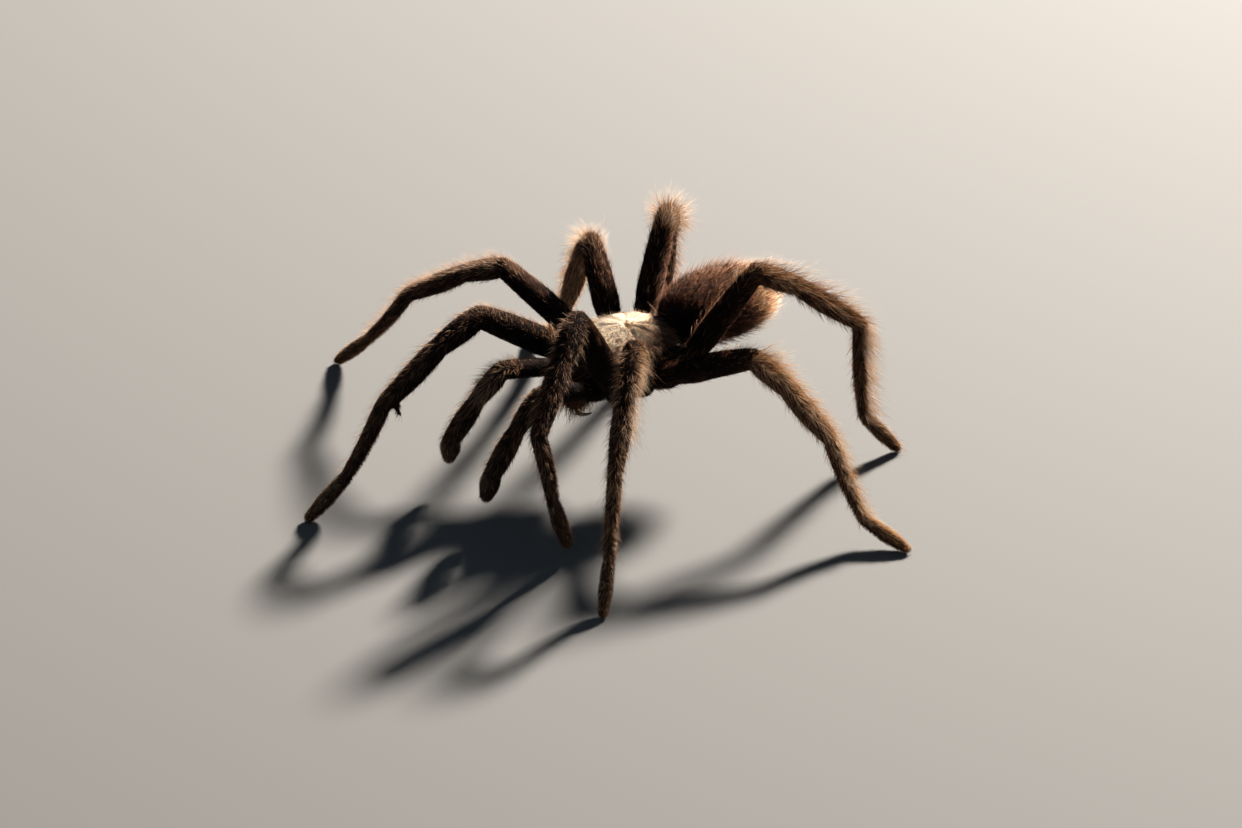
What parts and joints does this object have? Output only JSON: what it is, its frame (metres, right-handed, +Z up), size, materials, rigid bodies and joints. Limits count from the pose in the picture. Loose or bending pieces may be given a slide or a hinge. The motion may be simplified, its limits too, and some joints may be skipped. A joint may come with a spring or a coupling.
{
  "type": "tarantula model",
  "caption": "Life-size still model of a walking male tarantula: domed tan carapace, oval hairy abdomen, palps, jaws and long bent hairy legs standing on flat-based feet.",
  "frame": {"origin": "on the floor, below the middle of the box that holds the whole animal", "axes": "+Z up; the animal heads towards -Y, its left side is +X"},
  "size_m": [0.0989, 0.0926, 0.0371],
  "materials": {
    "carapace_velvet": "pale golden tan, short dense velvet",
    "abdomen_hair": "dark brown with long red-brown hairs",
    "femur_hair": "near-black brown, close short hair",
    "shin_hair": "warm brown, long outstanding hairs with pale tips",
    "foot_hair": "mid brown, dense brushed hair",
    "jaw_hair": "dark brown bristled hair",
    "chest_hair": "very dark brown hair",
    "eyes": "wet black gloss",
    "horn": "polished black horn"
  },
  "bodies": {
    "root": {"carapace": "carapace_velvet", "eye_mound": "eyes", "chest": "chest_hair", "abdomen": "abdomen_hair", "chelicera_left": "jaw_hair", "palp_left_femur": "femur_hair", "palp_left_shin": "shin_hair", "palp_left_tarsus": "foot_hair", "leg_left_1_coxa": "chest_hair", "leg_left_1_femur": "femur_hair", "leg_left_1_patella": "shin_hair", "leg_left_1_tibia": "shin_hair", "leg_left_1_metatarsus": "foot_hair", "leg_left_1_tarsus": "foot_hair", "leg_left_2_coxa": "chest_hair", "leg_left_2_femur": "femur_hair", "leg_left_2_patella": "shin_hair", "leg_left_2_tibia": "shin_hair", "leg_left_2_metatarsus": "foot_hair", "leg_left_2_tarsus": "foot_hair", "leg_left_3_coxa": "chest_hair", "leg_left_3_femur": "femur_hair", "leg_left_3_patella": "shin_hair", "leg_left_3_tibia": "shin_hair", "leg_left_3_metatarsus": "foot_hair", "leg_left_3_tarsus": "foot_hair", "leg_left_4_coxa": "chest_hair", "leg_left_4_femur": "femur_hair", "leg_left_4_patella": "shin_hair", "leg_left_4_tibia": "shin_hair", "leg_left_4_metatarsus": "foot_hair", "leg_left_4_tarsus": "foot_hair", "chelicera_right": "jaw_hair", "palp_right_femur": "femur_hair", "palp_right_shin": "shin_hair", "palp_right_tarsus": "foot_hair", "leg_right_1_coxa": "chest_hair", "leg_right_1_femur": "femur_hair", "leg_right_1_patella": "shin_hair", "leg_right_1_tibia": "shin_hair", "leg_right_1_metatarsus": "foot_hair", "leg_right_1_tarsus": "foot_hair", "leg_right_2_coxa": "chest_hair", "leg_right_2_femur": "femur_hair", "leg_right_2_patella": "shin_hair", "leg_right_2_tibia": "shin_hair", "leg_right_2_metatarsus": "foot_hair", "leg_right_2_tarsus": "foot_hair", "leg_right_3_coxa": "chest_hair", "leg_right_3_femur": "femur_hair", "leg_right_3_patella": "shin_hair", "leg_right_3_tibia": "shin_hair", "leg_right_3_metatarsus": "foot_hair", "leg_right_3_tarsus": "foot_hair", "leg_right_4_coxa": "chest_hair", "leg_right_4_femur": "femur_hair", "leg_right_4_patella": "shin_hair", "leg_right_4_tibia": "shin_hair", "leg_right_4_metatarsus": "foot_hair", "leg_right_4_tarsus": "foot_hair"}
  },
  "joints": []
}
